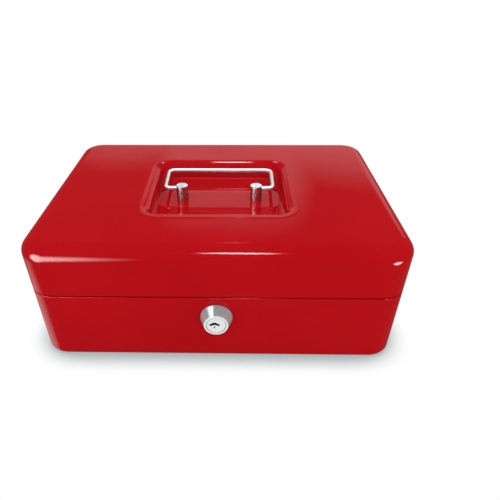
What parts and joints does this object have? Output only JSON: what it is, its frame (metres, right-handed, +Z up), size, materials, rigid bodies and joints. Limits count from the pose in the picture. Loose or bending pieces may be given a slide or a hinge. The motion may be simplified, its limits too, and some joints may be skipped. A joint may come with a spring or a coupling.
{
  "type": "cash box",
  "caption": "Steel cash box with a hinged lid, a wire handle folded into a recess in the lid, a key lock in the front wall and a loose coin tray.",
  "frame": {"origin": "middle of the flat underside", "axes": "+Z up, front wall with the lock towards -Y, hinge towards +Y, +X to the right seen from the front"},
  "size_m": [0.25, 0.1914, 0.091],
  "materials": {
    "red_paint": "gloss",
    "chrome": "polished",
    "zinc_plate": "satin zinc plate",
    "brass": "satin",
    "black_plastic": "fine grain"
  },
  "bodies": {
    "box": {"base_shell": "red_paint", "hinge_leaf_base": "red_paint", "hinge_pin": "zinc_plate", "lock_body": "chrome", "lock_nut": "zinc_plate"},
    "lid": {"lid_shell": "red_paint", "hinge_leaf_lid": "red_paint", "lid_keeper": "zinc_plate", "handle_post_left": "chrome", "handle_post_right": "chrome", "post_washer_left": "zinc_plate", "post_washer_right": "zinc_plate"},
    "handle": {"handle_bail": "chrome"},
    "lock_core": {"lock_plug": "chrome", "lock_cam": "zinc_plate", "cam_washer": "zinc_plate", "cam_screw": "zinc_plate", "lock_wafer_1": "brass", "lock_wafer_2": "brass", "lock_wafer_3": "brass", "lock_wafer_4": "brass", "lock_wafer_5": "brass", "wafer_spring_1": "zinc_plate", "wafer_spring_2": "zinc_plate", "wafer_spring_3": "zinc_plate", "wafer_spring_4": "zinc_plate", "wafer_spring_5": "zinc_plate"},
    "tray": {"coin_tray": "black_plastic"}
  },
  "joints": [
    {"name": "lid_hinge", "type": "hinge", "parent": "box", "child": "lid", "pos_m": [0, 0.0902, 0.0535], "axis": [-1, 0, 0], "range_deg": [0, 100]},
    {"name": "handle_pivot", "type": "hinge", "parent": "lid", "child": "handle", "pos_m": [0, -0.003, 0.0886], "axis": [1, 0, 0], "range_deg": [0, 180]},
    {"name": "lock_turn", "type": "hinge", "parent": "box", "child": "lock_core", "pos_m": [0, -0.09, 0.0368], "axis": [0, 1, 0], "range_deg": [0, 90]},
    {"name": "tray_lift", "type": "slide", "parent": "box", "child": "tray", "axis": [0, 0, 1], "range_m": [0, 0.008]}
  ]
}
